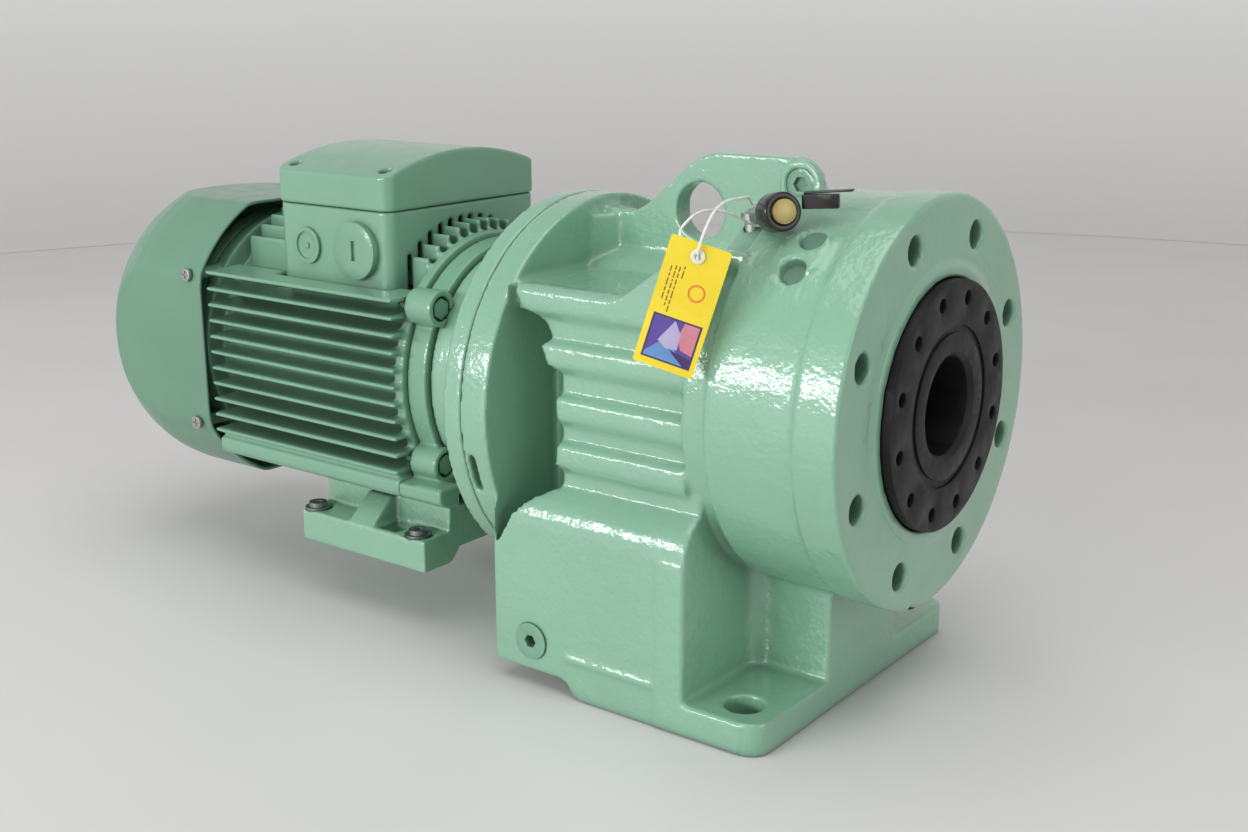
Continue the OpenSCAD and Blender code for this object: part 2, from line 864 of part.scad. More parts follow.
module foot_screws()
  color([0.6, 0.61, 0.62])
    for (x = [-333, -231], s = [-1, 1])
      difference() {
        union() {
          disc_z(mfoot_z + 21.55, mfoot_z + 23.8, 9.4, x, s * 91);
          disc_z(mfoot_z + 23.7, mfoot_z + 27, 6.6, x, s * 91);
          disc_z(mfoot_z + 1, mfoot_z + 22, 5.4, x, s * 91);
        }
        hex_z(mfoot_z + 24.5, mfoot_z + 28, 6, x, s * 91);
      }

// ---------- plugs, breather, tag ----------
module drain_plug()
  color([0.4, 0.6, 0.5])
    difference() {
      union() {
        disc_y(-124.9, -113.4, 10.3, -101, 32);
        disc_y(-125.4, -124.1, 12, -101, 32);
      }
      translate([-101, -130, 32])
        rotate([-90, 0, 0])
          cylinder(h = 12, r = 4.6, $fn = 6);
    }

module pad_plugs()
  color([0.36, 0.55, 0.45])
    for (a = [34, 45])
      translate([62, 0, axis_h])
        rotate([a, 0, 0])
          translate([a > 40 ? -0.5 : 1.5, 0, a > 40 ? 116.55 : 119.05])
            cylinder(h = 2.4, r = 7.9);

module boss_plug()
  color([0.4, 0.5, 0.45])
    difference() {
      disc_y(-14.5, -9.05, 9.4, 22.5, 320);
      translate([22.5, -16, 320])
        rotate([-90, 0, 0])
          cylinder(h = 4.5, r = 5, $fn = 6);
    }

module vent_axis()
  translate(vent_pos)
    rotate([0, 80, -36])
      children();

module vent_stub()
  color([0.2, 0.18, 0.16])
    union() {
      disc_z(262, 304.5, 4.9, 13.5, -52.5);
      disc_z(303.1, 306.5, 7, 13.5, -52.5);
      vent_axis() {
        translate([0, 0, -44])
          cylinder(h = 38, r = 4.9);
        translate([0, 0, -14])
          cylinder(h = 12, r = 6.6);
      }
    }

module vent_cap()
  color([0.72, 0.62, 0.32])
    vent_axis()
      difference() {
        union() {
          translate([0, 0, -1.9])
            cylinder(h = 4.9, r = 7);
          translate([0, 0, 2.9])
            cylinder(h = 0.8, r = 6.2);
        }
        translate([0, 0, -3])
          cylinder(h = 3, r = 2);
      }

module vent_sleeve()
  color([0.06, 0.05, 0.05])
    vent_axis()
      difference() {
        translate([0, 0, -14.5])
          cylinder(h = 15.5, r = 11.2);
        translate([0, 0, -16])
          cylinder(h = 19, r = 7.05);
      }

// rubber strap leaving the sleeve towards the output end
module vent_strap()
  color([0.06, 0.05, 0.05])
    union() {
      translate([52.5, -63, 317])
        rotate([0, -3, 20])
          translate([0, -3, -4])
            cube([21, 5, 8]);
      translate([52, -60, 321.8])
        rotate([0, -5, 18])
          translate([0, -4, -0.6])
            cube([28, 6, 1.2]);
    }

module tag_frame()
  translate(tag_pos)
    rotate([0, 0, tag_turn])
      rotate([0, tag_roll, 0])
        children();

module tag_card()
  color([0.93, 0.86, 0.22])
    tag_frame()
      difference() {
        box(-tag_w / 2, tag_w / 2, -0.45, 0.45, -tag_l / 2, tag_l / 2);
        disc_y(-2, 2, 2.6, 0, tag_l / 2 - 7.5);
      }

module tag_eyelet()
  color([0.9, 0.88, 0.75])
    tag_frame()
      difference() {
        union() {
          disc_y(-1.1, -0.5, 4.2, 0, tag_l / 2 - 7.5);
          disc_y(0.5, 1.1, 4.2, 0, tag_l / 2 - 7.5);
          disc_y(-1.1, 1.1, 2.55, 0, tag_l / 2 - 7.5);
        }
        disc_y(-2, 2, 1.7, 0, tag_l / 2 - 7.5);
      }

// smooth curve through the string points, swept as one tube
function crom(a, b, c, d, t) = 0.5 * (2 * b + (c - a) * t + (2 * a - 5 * b + 4 * c - d) * t * t
  + (3 * b - a - 3 * c + d) * t * t * t);
function unit(v) = v / norm(v);
n_str = len(string_pts);
function sp(i) = string_pts[min(max(i, 0), n_str - 1)];
str_path = [for (i = [0:n_str - 2]) for (t = [0, 0.33, 0.67])
  crom(sp(i - 1), sp(i), sp(i + 1), sp(i + 2), t), sp(n_str - 1)];
n_path = len(str_path);
function path_dir(i) = unit(str_path[min(i + 1, n_path - 1)] - str_path[max(i - 1, 0)]);
function side_vec(i) = unit(cross(path_dir(i), [0.31, 0.12, 0.94]));
str_ring = [for (i = [0:n_path - 1]) let (u = side_vec(i), v = cross(path_dir(i), u))
  for (k = [0:7]) str_path[i] + string_d / 2 * (u * cos(45 * k) + v * sin(45 * k))];
str_side = [for (i = [0:n_path - 2]) for (k = [0:7])
  [i * 8 + k, i * 8 + (k + 1) % 8, (i + 1) * 8 + (k + 1) % 8, (i + 1) * 8 + k]];

module tag_string()
  color([0.93, 0.93, 0.9])
    polyhedron(points = str_ring, faces = concat([[for (k = [7:-1:0]) k]], str_side,
      [[for (k = [0:7]) (n_path - 1) * 8 + k]]));

// ---------- drawing ----------
gearcase();
output_hub();
output_gear();
output_key();
output_bearings();
output_seal();
mid_shaft();
mid_gear();
mid_bearing_front();
mid_bearing_rear();
input_pinion();
input_bearing();
input_seal();
motor_flange();
flange_screws();
motor_shaft();
rotor_core();
rotor_rings();
stator_core();
windings();
stator_frame();
drive_shield();
rear_shield();
shield_screws();
motor_bearings();
fan();
fan_cowl();
cowl_screws();
terminal_box();
terminal_lid();
lid_screws();
terminal_board();
terminal_studs();
entry_plug_small();
entry_plug_large();
motor_feet();
foot_screws();
drain_plug();
pad_plugs();
boss_plug();
vent_stub();
vent_cap();
vent_sleeve();
vent_strap();
tag_card();
tag_eyelet();
tag_string();
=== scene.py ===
"""Foot-mounted helical gearmotor: materials, cast surfaces, tag, string, stage and camera."""

import json
import math

import bmesh
import bpy
from mathutils import Matrix, Vector


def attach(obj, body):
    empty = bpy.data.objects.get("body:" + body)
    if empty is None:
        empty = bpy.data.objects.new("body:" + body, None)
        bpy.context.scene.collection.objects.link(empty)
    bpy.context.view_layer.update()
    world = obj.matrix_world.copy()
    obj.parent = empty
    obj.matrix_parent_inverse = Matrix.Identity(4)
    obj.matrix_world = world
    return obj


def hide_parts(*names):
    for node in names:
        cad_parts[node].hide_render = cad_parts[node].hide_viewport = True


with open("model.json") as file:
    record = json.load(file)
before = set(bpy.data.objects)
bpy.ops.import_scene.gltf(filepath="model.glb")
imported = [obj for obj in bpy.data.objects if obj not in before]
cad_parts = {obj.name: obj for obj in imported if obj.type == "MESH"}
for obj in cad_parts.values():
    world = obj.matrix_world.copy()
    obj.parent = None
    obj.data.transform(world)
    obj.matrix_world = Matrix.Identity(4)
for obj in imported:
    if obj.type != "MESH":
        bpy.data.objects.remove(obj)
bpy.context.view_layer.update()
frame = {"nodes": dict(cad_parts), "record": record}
nodes = frame["nodes"]

# ---------- camera ----------
CAM_POS = Vector((0.4875, -0.8118, 0.4239))
CAM_AIM = Vector((-0.1200, 0.0, 0.1506))
LENS_MM, SENSOR_MM = 44.04, 36.0


def make_camera():
    cam = bpy.data.cameras.new("camera")
    cam.sensor_width = SENSOR_MM
    cam.lens = LENS_MM
    ob = bpy.data.objects.new("camera", cam)
    ob.location = CAM_POS
    ob.rotation_euler = (CAM_AIM - CAM_POS).to_track_quat("-Z", "Y").to_euler()
    bpy.context.collection.objects.link(ob)
    bpy.context.scene.camera = ob


# ---------- materials ----------
class Mat:
    """A node material: small helpers keep each recipe short."""

    def __init__(self, name, **sockets):
        self.mat = bpy.data.materials.new(name)
        self.mat.use_nodes = True
        self.tree = self.mat.node_tree
        self.bsdf = self.tree.nodes["Principled BSDF"]
        for key, value in sockets.items():
            self.bsdf.inputs[key.replace("_", " ")].default_value = value
        self.coord = self.tree.nodes.new("ShaderNodeTexCoord")

    def node(self, kind, **props):
        n = self.tree.nodes.new(kind)
        for key, value in props.items():
            if key in n.inputs:
                n.inputs[key].default_value = value
            else:
                setattr(n, key, value)
        return n

    def link(self, a, b):
        self.tree.links.new(a, b)

    def noise(self, scale, detail=3.0, stretch=(1, 1, 1), rough=0.5):
        m = self.node("ShaderNodeMapping")
        m.inputs["Scale"].default_value = stretch
        self.link(self.coord.outputs["Object"], m.inputs["Vector"])
        n = self.node("ShaderNodeTexNoise")
        n.inputs["Scale"].default_value = scale
        n.inputs["Detail"].default_value = detail
        n.inputs["Roughness"].default_value = rough
        self.link(m.outputs["Vector"], n.inputs["Vector"])
        return n.outputs["Fac"]

    def ramp(self, fac, stops):
        r = self.node("ShaderNodeValToRGB")
        els = r.color_ramp.elements
        while len(els) < len(stops):
            els.new(0.5)
        for el, (pos, col) in zip(els, stops):
            el.position = pos
            el.color = (*col, 1.0) if len(col) == 3 else col
        self.link(fac, r.inputs["Fac"])
        return r.outputs["Color"]

    def colour(self, fac, a, b, lo=0.3, hi=0.7):
        self.link(self.ramp(fac, [(lo, a), (hi, b)]), self.bsdf.inputs["Base Color"])

    def rough(self, fac, lo, hi, p0=0.3, p1=0.7):
        self.link(self.ramp(fac, [(p0, (lo,) * 3), (p1, (hi,) * 3)]), self.bsdf.inputs["Roughness"])

    def bump(self, heights):
        """heights: (fac, strength, distance in metres), stacked from first to last."""
        normal = None
        for fac, strength, dist in heights:
            b = self.node("ShaderNodeBump")
            b.inputs["Strength"].default_value = strength
            b.inputs["Distance"].default_value = dist
            self.link(fac, b.inputs["Height"])
            if normal is not None:
                self.link(normal, b.inputs["Normal"])
            normal = b.outputs["Normal"]
        self.link(normal, self.bsdf.inputs["Normal"])
        if self.bsdf.inputs["Coat Weight"].default_value > 0:
            self.link(normal, self.bsdf.inputs["Coat Normal"])


def scaled(c, k):
    return tuple(min(1.0, v * k) for v in c)


GREEN = (0.202, 0.415, 0.284)


def painted_crevice_shade(m, colour, dark, reach):
    """Painted shade: darkens the base colour by ambient occlusion in holes, gaps and inner corners.
    """
    ao = m.node("ShaderNodeAmbientOcclusion", samples=4)
    ao.inputs["Distance"].default_value = reach
    mix = m.node("ShaderNodeMix", data_type="RGBA", blend_type="MULTIPLY")
    mix.inputs["Factor"].default_value = 1.0
    m.link(colour, mix.inputs["A"])
    m.link(m.ramp(ao.outputs["AO"], [(0.12, (dark,) * 3), (0.7, (1, 1, 1))]), mix.inputs["B"])
    m.link(mix.outputs["Result"], m.bsdf.inputs["Base Color"])


def green_paint(name, peel, cast, tint=1.0, dark=0.4, gloss=1.0):
    """Semi-gloss machine paint: peel is the fine orange peel, cast the coarser sand texture; dark
    sets how dark the painted shade in crevices goes.
    """
    m = Mat(name, Metallic=0.0)
    m.bsdf.inputs["Specular IOR Level"].default_value = 0.66 * gloss
    m.bsdf.inputs["Coat Weight"].default_value = gloss
    m.bsdf.inputs["Coat Roughness"].default_value = 0.1
    base = scaled(GREEN, tint)
    tone = m.ramp(m.noise(9.0, 4.0), [(0.3, scaled(base, 0.93)), (0.7, scaled(base, 1.05))])
    # painted shade: occlusion darkens the paint in holes, gaps and inner corners
    painted_crevice_shade(m, tone, dark, 0.022)
    m.rough(m.noise(60.0, 3.0), 0.36, 0.48)
    m.bump([(m.noise(85.0, 3.0), cast, 0.0014), (m.noise(300.0, 2.0), peel, 0.0006)])
    return m.mat


def black_hub():
    """Blackened hub face; painted shade from ambient occlusion makes it near black inside the bore.
    """
    m = Mat("hub_black", Metallic=0.0)
    m.bsdf.inputs["Specular IOR Level"].default_value = 0.25
    tone = m.ramp(m.noise(30.0, 4.0), [(0.3, (0.008, 0.008, 0.008)), (0.7, (0.016, 0.015, 0.015))])
    # painted shade: strong occlusion darkening inside the bore
    painted_crevice_shade(m, tone, 0.05, 0.06)
    m.rough(m.noise(80.0, 3.0), 0.38, 0.55)
    m.bump([(m.noise(60.0, 3.0), 0.3, 0.0004), (m.noise(500.0, 2.0), 0.25, 0.0002)])
    return m.mat


def machined(name, colour, lo=0.25, hi=0.42, grain=(1, 1, 1)):
    m = Mat(name, Metallic=1.0)
    m.colour(m.noise(25.0, 4.0, grain), scaled(colour, 0.85), colour)
    m.rough(m.noise(70.0, 3.0, grain), lo, hi)
    m.bump([(m.noise(700.0, 2.0, grain), 0.12, 0.0001)])
    return m.mat


def soft(name, dark, light, lo, hi, scale=120.0, depth=0.0002, strength=0.3):
    m = Mat(name, Metallic=0.0)
    m.colour(m.noise(scale * 0.3, 4.0), dark, light)
    m.rough(m.noise(scale, 3.0), lo, hi)
    m.bump([(m.noise(scale * 3, 3.0), strength, depth)])
    return m.mat


def ink(name, colour):
    return soft(name, scaled(colour, 0.85), colour, 0.3, 0.42, 300.0, 0.00005, 0.2)


def make_materials():
    return {
        "green_paint": green_paint("green_paint", 0.55, 0.5),
        # The motor and sheet copies of the green are darker (tint 0.86, 0.65): painted shade for
        # the motor parts, which get less light, besides their lower gloss and finer texture.
        "green_motor": green_paint("green_motor", 0.3, 0.12, 0.86, 0.55, 0.6),
        "green_sheet": green_paint("green_sheet", 0.25, 0.06, 0.65, 0.5, 0.4),
        "plug_green": green_paint("plug_green", 0.3, 0.1, 0.82, gloss=0.6),
        # plug_sunk: a darker copy of the green (tint 0.55), painted shade for plugs sitting deep in
        # their holes
        "plug_sunk": green_paint("plug_sunk", 0.3, 0.2, 0.55, 0.4, 0.5),
        "screw_dull": machined("screw_dull", (0.20, 0.23, 0.21), 0.42, 0.6),
        "hub_black": black_hub(),
        "gear_steel": machined("gear_steel", (0.42, 0.42, 0.43)),
        "bearing_steel": machined("bearing_steel", (0.62, 0.62, 0.64), 0.12, 0.25),
        "lamination": machined("lamination", (0.22, 0.22, 0.23), 0.4, 0.6, (40, 1, 1)),
        "cage_aluminium": machined("cage_aluminium", (0.65, 0.66, 0.67), 0.3, 0.5),
        "screw_zinc": machined("screw_zinc", (0.42, 0.43, 0.42), 0.34, 0.5),
        "stud_brass": machined("stud_brass", (0.72, 0.5, 0.2)),
        "vent_brass": machined("vent_brass", (0.56, 0.45, 0.20), 0.42, 0.58),
        "copper_winding": soft(
            "copper_winding", (0.30, 0.11, 0.04), (0.45, 0.19, 0.07), 0.3, 0.5, 300.0
        ),
        "seal_rubber": soft("seal_rubber", (0.012, 0.012, 0.012), (0.022, 0.022, 0.022), 0.5, 0.7),
        "strap_rubber": soft(
            "strap_rubber", (0.010, 0.009, 0.009), (0.022, 0.019, 0.018), 0.16, 0.3
        ),
        "fan_plastic": soft("fan_plastic", (0.015, 0.015, 0.015), (0.025, 0.025, 0.025), 0.4, 0.6),
        "board_plastic": soft("board_plastic", (0.08, 0.03, 0.015), (0.11, 0.045, 0.02), 0.4, 0.6),
        "tag_card": soft(
            "tag_card", (0.76, 0.58, 0.02), (0.84, 0.66, 0.03), 0.22, 0.34, 90.0, 0.0002, 0.3
        ),
        "eyelet_plastic": soft("eyelet_plastic", (0.70, 0.68, 0.55), (0.78, 0.76, 0.62), 0.3, 0.4),
        "string_white": soft(
            "string_white", (0.70, 0.70, 0.66), (0.82, 0.82, 0.78), 0.7, 0.9, 600.0
        ),
    }


OVERRIDES = {  # node: material, where it differs from its slot's
    "stator_frame": "green_motor", "drive_shield": "green_motor", "rear_shield": "green_motor",
    "terminal_box": "green_motor", "terminal_lid": "green_motor", "shield_screws": "plug_green",
    "pad_plugs": "plug_sunk", "foot_screws": "screw_dull",
}


def paint_nodes(mats):
    slots = {s["node"]: s["material_slot"] for s in frame["record"]["subparts"]}
    for name, ob in nodes.items():
        ob.data.materials.clear()
        ob.data.materials.append(mats[OVERRIDES.get(name, slots[name])])


# ---------- surfaces ----------
WELD = 0.00001  # points closer than this join


def cast_surface(ob, voxel, passes):
    """Rounds every edge of a casting evenly: fine remesh, then smoothing."""
    w = ob.modifiers.new("weld", "WELD")
    w.merge_threshold = WELD
    r = ob.modifiers.new("remesh", "REMESH")
    r.mode = "VOXEL"
    r.voxel_size = voxel
    r.use_smooth_shade = True
    s = ob.modifiers.new("smooth", "SMOOTH")
    s.factor = 0.5
    s.iterations = passes


def edge_surface(ob, width, segments, angle=35):
    """Rounds the edges of a machined or moulded node and shades it by angle."""
    w = ob.modifiers.new("weld", "WELD")
    w.merge_threshold = WELD
    b = ob.modifiers.new("bevel", "BEVEL")
    b.width = width
    b.segments = segments
    b.limit_method = "ANGLE"
    b.angle_limit = math.radians(angle)
    b.harden_normals = True
    b.miter_outer = "MITER_ARC"
    for p in ob.data.polygons:
        p.use_smooth = True


AXIS_Z = 0.195  # height of the output shaft
LIP_PROFILE = [  # (along the shaft, radius)
    (0.1085, 0.0798), (0.1085, 0.0762), (0.1130, 0.0760), (0.1142, 0.0765), (0.1147, 0.0778),
    (0.1146, 0.0806), (0.1145, 0.0836), (0.1136, 0.0846), (0.1131, 0.0846), (0.1131, 0.0798),
]


def seal_lip(mat):
    """Painted lip of the output bore, close round the hub, with an uneven brushed edge."""
    profile, count = LIP_PROFILE, 240
    bm, rows = bmesh.new(), []
    for k in range(count):
        a = 2 * math.pi * k / count
        wave = 0.00022 * (math.sin(7 * a) + math.sin(17 * a + 1.3) + 0.7 * math.sin(41 * a + 0.4))
        row = []
        for n, (x, r) in enumerate(profile):
            x, r = (x + wave * 0.4, r + abs(wave) * 0.5) if 3 <= n <= 6 else (x, r)
            row.append(bm.verts.new((x, r * math.sin(a), AXIS_Z + r * math.cos(a))))
        rows.append(row)
    size = len(profile)
    for a, b in zip(rows, rows[1:] + rows[:1]):
        for n in range(size):
            bm.faces.new((a[n], b[n], b[(n + 1) % size], a[(n + 1) % size]))
    bmesh.ops.recalc_face_normals(bm, faces=bm.faces)
    for f in bm.faces:
        f.smooth = True
    me = bpy.data.meshes.new("seal_lip")
    bm.to_mesh(me)
    bm.free()
    me.materials.append(mat)
    ob = bpy.data.objects.new("seal_lip", me)
    bpy.context.collection.objects.link(ob)
    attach(ob, "base")


# ---------- tag and string ----------
TAG_POS = Vector((0.0185, -0.132, 0.2635))
TAG_TURN, TAG_ROLL = 25, 17
TAG_W, TAG_L = 35.0, 74.0  # mm, as the rest of the card's drawing
EYE_V, EYE_R = 29.5, 2.7


def tag_curl(u, v):
    """How far the card leaves its plane, in mm: its lower end curls forward."""
    t = max(0.0, 12.0 - v) / 49.0
    return -1.6 * t * t + 0.25 * (u / 17.5) ** 2


def rect(u0, v0, u1, v1):
    return [(u0, v0), (u1, v0), (u1, v1), (u0, v1)]


def arc(cu, cv, r, a0, a1, n):
    angles = [math.radians(a0 + (a1 - a0) * k / n) for k in range(n + 1)]
    return [(cu + r * math.cos(a), cv + r * math.sin(a)) for a in angles]


def card_prints():
    """Generic artwork: (outline, ink number) from the lowest layer up."""
    out = []
    dash = [5, 3, 7, 4, 6, 2, 5, 4]
    columns = [(-12.2, 20, 5), (-9.6, 21, 7), (-7.4, 21, 7), (-4.9, 22, 2)]
    for col, (u, top, count) in enumerate(columns):
        v = top
        for k in range(count):
            size = 0.62 * dash[(k + 3 * col) % 8]
            out.append((rect(u - 0.4, v - size, u + 0.4, v), 1))
            v -= size + 0.9
    outer, inner = arc(5.5, 9.5, 5.0, 0, 360, 28), arc(5.5, 9.5, 3.9, 0, 360, 28)
    for k in range(28):
        out.append(([inner[k], outer[k], outer[k + 1], inner[k + 1]], 2))
    pu, pv, pw, ph = -13.4, -32.4, 27.4, 24.6
    panel = [
        ([(-0.02, -0.02), (1.02, -0.02), (1.02, 1.02), (-0.02, 1.02)], 3),
        ([(0.02, 0.02), (0.98, 0.02), (0.98, 0.98), (0.02, 0.98)], 4),
        ([(0.02, 0.02), (0.9, 0.02), (0.6, 0.34), (0.34, 0.5), (0.02, 0.1)], 5),
        ([(0.66, 0.98), (0.98, 0.98), (0.98, 0.3), (0.72, 0.36), (0.6, 0.66)], 7),
        ([(0.46, 0.97), (0.64, 0.7), (0.66, 0.34), (0.42, 0.3), (0.22, 0.44)], 6),
        ([(0.5, 0.3), (0.98, 0.22), (0.98, 0.02), (0.86, 0.02), (0.62, 0.2)], 3),
    ]
    for shape, number in panel:
        out.append(([(pu + pw * a, pv + ph * b) for a, b in shape], number))
    return out


def build_tag(mats):
    """The hanging card: rounded corners, a hole for the eyelet, a curl and printed areas."""
    bm = bmesh.new()
    w, l, r = TAG_W / 2, TAG_L / 2, 1.6
    edge = []
    corners = [(w - r, l - r, 0), (r - w, l - r, 90), (r - w, r - l, 180), (w - r, r - l, 270)]
    for cu, cv, a in corners:
        edge += arc(cu, cv, r, a, a + 90, 5)
    eye = arc(0, EYE_V, EYE_R, 0, 360, 24)[:-1]
    rings = []
    for loop in (edge, eye):
        vs = [bm.verts.new((u, 0, v)) for u, v in loop]
        rings += [bm.edges.new((vs[k], vs[(k + 1) % len(vs)])) for k in range(len(vs))]
    bmesh.ops.triangle_fill(bm, use_beauty=True, use_dissolve=False, edges=rings)
    bmesh.ops.recalc_face_normals(bm, faces=bm.faces)
    if sum(f.normal.y for f in bm.faces) > 0:
        bmesh.ops.reverse_faces(bm, faces=bm.faces)
    back = bmesh.ops.duplicate(bm, geom=bm.verts[:] + bm.edges[:] + bm.faces[:])["geom"]
    flip = [g for g in back if isinstance(g, bmesh.types.BMFace)]
    bmesh.ops.reverse_faces(bm, faces=flip)
    for g in back:
        if isinstance(g, bmesh.types.BMVert):
            g.co.y = 0.5
    far = [g for g in back if isinstance(g, bmesh.types.BMVert)]
    for loop in rings:
        a, b = loop.verts
        fa = min(far, key=lambda v: (v.co.x - a.co.x) ** 2 + (v.co.z - a.co.z) ** 2)
        fb = min(far, key=lambda v: (v.co.x - b.co.x) ** 2 + (v.co.z - b.co.z) ** 2)
        bm.faces.new((a, b, fb, fa))
    bmesh.ops.recalc_face_normals(bm, faces=bm.faces)
    for layer, (shape, number) in enumerate(card_prints()):
        lift = -0.03 if number < 3 else -0.02 - 0.012 * (layer - 40)
        face = bm.faces.new([bm.verts.new((u, lift, v)) for u, v in shape])
        face.material_index = number
        face.normal_update()
        if face.normal.y > 0:
            face.normal_flip()
    v = -TAG_L / 2 + 2
    while v < TAG_L / 2:
        geom = bm.verts[:] + bm.edges[:] + bm.faces[:]
        bmesh.ops.bisect_plane(bm, geom=geom, plane_co=(0, 0, v), plane_no=(0, 0, 1))
        v += 3
    for vert in bm.verts:
        vert.co.y += tag_curl(vert.co.x, vert.co.z)
        vert.co *= 0.001
    me = bpy.data.meshes.new("tag")
    bm.to_mesh(me)
    bm.free()
    for m in mats:
        me.materials.append(m)
    ob = bpy.data.objects.new("tag_with_prints", me)
    turn = Matrix.Rotation(math.radians(TAG_TURN), 4, "Z")
    roll = Matrix.Rotation(math.radians(TAG_ROLL), 4, "Y")
    ob.matrix_world = Matrix.Translation(TAG_POS) @ turn @ roll
    bpy.context.collection.objects.link(ob)
    return ob


STRING_D = 0.0018
STRING_POINTS = [
    (27.4, -130.6, 290.5), (26.3, -128.35, 291.7), (25, -125.6, 292.9), (20, -123.5, 295.5),
    (13, -123, 298.5), (9, -120.5, 303), (10.5, -114, 309), (12.5, -105, 312.5),
    (14.5, -92, 312), (17, -78, 308), (19.2, -68, 303), (20.6, -61.6, 300.8),
    (23.9, -55.8, 300.8), (24.4, -52.1, 306.3), (21, -53.7, 311.9), (17, -59.5, 312.6),
    (20, -67, 316), (25, -78, 318.6), (26, -90, 319.2), (25.8, -101, 318.6),
    (26.3, -112, 315), (27.2, -122, 307), (28.8, -130.2, 299), (27.3, -130.6, 293.3),
]


def string_path(steps=12):
    pts = [Vector(p) * 0.001 for p in STRING_POINTS]
    ends = [pts[0]] + pts + [pts[-1]]
    out = []
    for a, b, c, d in zip(ends, ends[1:], ends[2:], ends[3:]):
        for k in range(steps):
            t = k / steps
            out.append(0.5 * (2 * b + (c - a) * t + (2 * a - 5 * b + 4 * c - d) * t * t
                              + (3 * b - a - 3 * c + d) * t ** 3))
    return out + [pts[-1]]


def build_string(mat):
    """Three-strand twine: a lobed section that turns as it follows the path."""
    path = string_path()
    side = Vector((1, 0, 0))
    bm, rows, gone = bmesh.new(), [], 0.0
    for k, p in enumerate(path):
        ahead = (path[min(k + 1, len(path) - 1)] - path[max(k - 1, 0)]).normalized()
        side = (side - ahead * side.dot(ahead)).normalized()
        up = ahead.cross(side)
        gone += (p - path[k - 1]).length if k else 0.0
        row = []
        for n in range(15):
            a = 2 * math.pi * n / 15
            r = STRING_D / 2 * (0.92 + 0.09 * math.cos(3 * (a - gone / 0.0055 * 2.1)))
            row.append(bm.verts.new(p + side * (r * math.cos(a)) + up * (r * math.sin(a))))
        rows.append(row)
    for a, b in zip(rows, rows[1:]):
        for n in range(15):
            bm.faces.new((a[n], a[(n + 1) % 15], b[(n + 1) % 15], b[n]))
    bm.faces.new(rows[0][::-1])
    bm.faces.new(rows[-1])
    bmesh.ops.recalc_face_normals(bm, faces=bm.faces)
    for f in bm.faces:
        f.smooth = True
    me = bpy.data.meshes.new("string")
    bm.to_mesh(me)
    bm.free()
    me.materials.append(mat)
    ob = bpy.data.objects.new("tag_twine", me)
    bpy.context.collection.objects.link(ob)
    return ob, path, gone


def hang_tag(mats):
    inks = [mats["tag_card"], ink("ink_brown", (0.28, 0.12, 0.01)),
            ink("ink_orange", (0.75, 0.20, 0.02)),
            ink("ink_navy", (0.05, 0.03, 0.12)), ink("ink_violet", (0.10, 0.06, 0.32)),
            ink("ink_blue", (0.12, 0.28, 0.55)), ink("ink_pale", (0.45, 0.40, 0.62)),
            ink("ink_rose", (0.62, 0.22, 0.28))]
    bodies = frame["record"]["behaviour"]["bodies"]
    body = next(name for name, members in bodies.items() if "tag_card" in members)
    card = build_tag(inks)
    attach(card, body)
    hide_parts("tag_card")
    twine, path, length = build_string(mats["string_white"])
    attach(twine, body)
    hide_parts("tag_string")


# ---------- floor, backdrop and light ----------
FLOOR_HALF = 4.0
SWEEP_R, SWEEP_CURVE, SWEEP_TOP = 2.1, 0.9, 2.8
SWEEP_LIFT = 0.0004  # keeps its foot just above the floor
SWEEP_FROM, SWEEP_TO = 30, 224  # degrees round the floor, open on the side of the lamps


def stage_mesh(name, points, faces, mat):
    me = bpy.data.meshes.new(name)
    me.from_pydata(points, [], faces)
    for f in me.polygons:
        f.use_smooth = True
    me.materials.append(mat)
    ob = bpy.data.objects.new(name, me)
    bpy.context.collection.objects.link(ob)


def backdrop_paint():
    """Painted light: the floor's tone at the foot, paler higher up, brightening the upper backdrop
    that the lamps light less.
    """
    m = Mat("backdrop_pale")
    split = m.node("ShaderNodeSeparateXYZ")
    m.link(m.coord.outputs["Object"], split.inputs[0])
    # painted light: base colour grows paler with height
    stops = [(0.0, (0.685, 0.675, 0.665)), (0.6, (0.93, 0.93, 0.93))]
    m.link(m.ramp(split.outputs["Z"], stops), m.bsdf.inputs["Base Color"])
    m.rough(m.noise(8.0), 0.5, 0.65)
    m.bump([(m.noise(20.0), 0.1, 0.0002)])
    return m.mat


def make_stage():
    """A pale floor that sweeps up into a curved backdrop well behind the gearmotor."""
    pale = soft("floor_pale", (0.67, 0.66, 0.65), (0.70, 0.69, 0.68), 0.45, 0.6, 8.0, 0.0002, 0.1)
    h = FLOOR_HALF
    stage_mesh("floor", [(-h, -h, 0), (h, -h, 0), (h, h, 0), (-h, h, 0)], [(0, 1, 2, 3)], pale)
    profile = [(SWEEP_R, SWEEP_LIFT)]
    for k in range(1, 13):
        a = math.pi / 2 * k / 12
        rise = SWEEP_CURVE * (1 - math.cos(a)) + SWEEP_LIFT
        profile.append((SWEEP_R + SWEEP_CURVE * math.sin(a), rise))
    profile.append((SWEEP_R + SWEEP_CURVE, SWEEP_TOP))
    points, faces, size, count = [], [], len(profile), 64
    for k in range(count + 1):
        a = math.radians(SWEEP_FROM + (SWEEP_TO - SWEEP_FROM) * k / count)
        points += [(r * math.cos(a), r * math.sin(a), z) for r, z in profile]
    for k in range(count):
        for n in range(size - 1):
            i = k * size + n
            faces.append((i, i + size, i + size + 1, i + 1))
    stage_mesh("backdrop", points, faces, backdrop_paint())


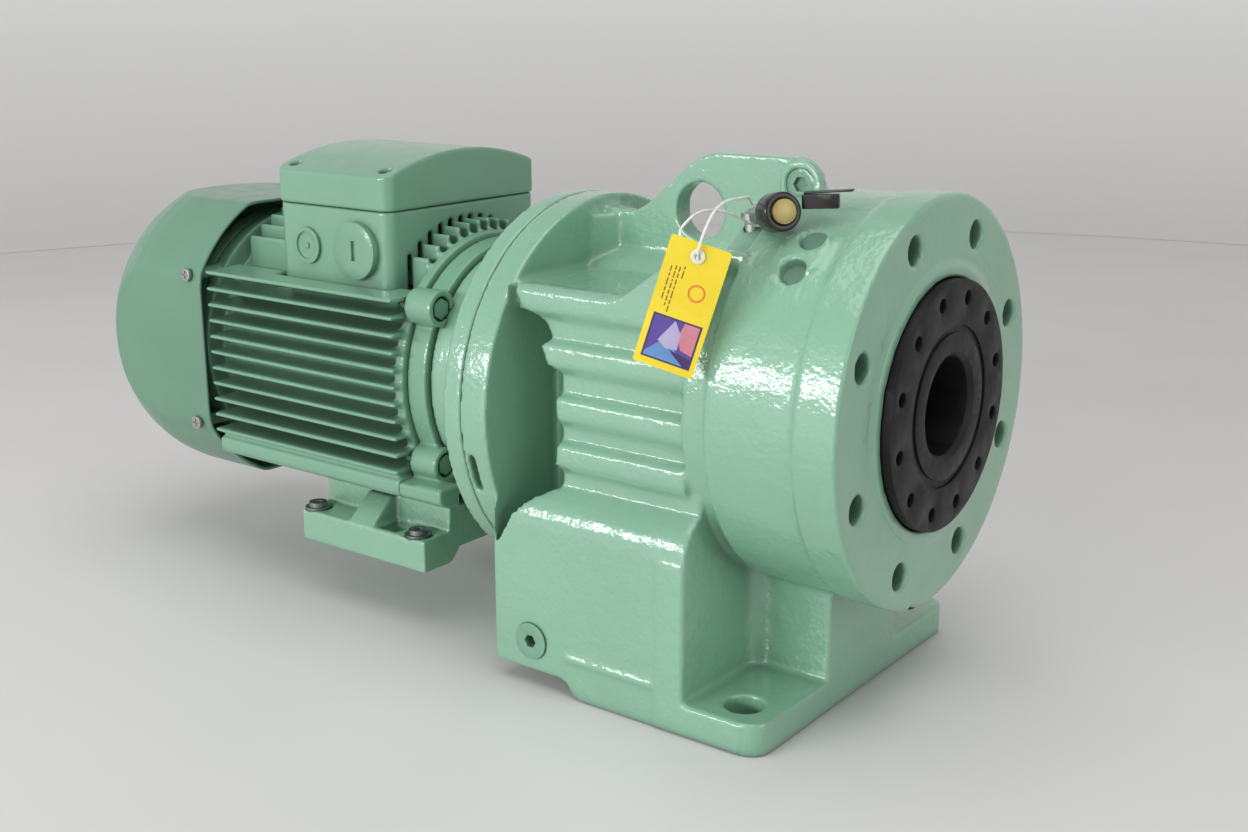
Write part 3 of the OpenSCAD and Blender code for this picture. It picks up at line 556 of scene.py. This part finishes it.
def area(name, pos, aim, size, power, size_y=None, colour=(1, 1, 1)):
    li = bpy.data.lights.new(name, "AREA")
    li.energy = power
    li.size = size
    li.color = colour
    if size_y:
        li.shape = "RECTANGLE"
        li.size_y = size_y
    ob = bpy.data.objects.new(name, li)
    ob.location = pos
    ob.rotation_euler = (Vector(aim) - Vector(pos)).to_track_quat("-Z", "Y").to_euler()
    bpy.context.collection.objects.link(ob)


def make_lights():
    world = bpy.data.worlds.new("studio")
    world.use_nodes = True
    bg = world.node_tree.nodes["Background"]
    bg.inputs["Color"].default_value = (1.0, 1.0, 1.0, 1.0)
    bg.inputs["Strength"].default_value = 0.30
    bpy.context.scene.world = world
    area("window", (-0.65, -2.45, 0.78), (0.05, 0, 0.15), 2.4, 46, 0.36)
    area("ceiling", (0.1, -0.3, 2.4), (0.1, 0, 0), 2.2, 26, 2.2)
    area("right_softbox", (2.3, -0.5, 1.0), (0, 0, 0.2), 1.5, 13, 1.5)
    bpy.context.scene.view_settings.view_transform = "Standard"


CASTINGS = {  # node: (voxel, smoothing passes)
    "gearcase": (0.0016, 6), "stator_frame": (0.0014, 2), "fan_cowl": (0.0011, 3),
    "terminal_box": (0.0011, 3), "terminal_lid": (0.0011, 4), "drive_shield": (0.0012, 3),
    "motor_flange": (0.0015, 4), "motor_feet": (0.0012, 3),
}
BEVELS = {  # node: (width, segments)
    "rear_shield": (0.0008, 2), "output_hub": (0.0006, 2), "drain_plug": (0.0005, 2),
    "entry_plug_small": (0.0005, 2), "entry_plug_large": (0.0005, 2), "foot_screws": (0.0004, 2),
    "cowl_screws": (0.0004, 2), "lid_screws": (0.0004, 2), "shield_screws": (0.0004, 2),
    "flange_screws": (0.0004, 2), "vent_cap": (0.0004, 2), "vent_sleeve": (0.0014, 3),
    "vent_strap": (0.0005, 2), "tag_eyelet": (0.0002, 2), "boss_plug": (0.0005, 2),
}

make_camera()
materials = make_materials()
paint_nodes(materials)
for node, (voxel, passes) in CASTINGS.items():
    cast_surface(nodes[node], voxel, passes)
for node, (width, segments) in BEVELS.items():
    edge_surface(nodes[node], width, segments)
seal_lip(materials["green_paint"])
hang_tag(materials)
make_stage()
make_lights()
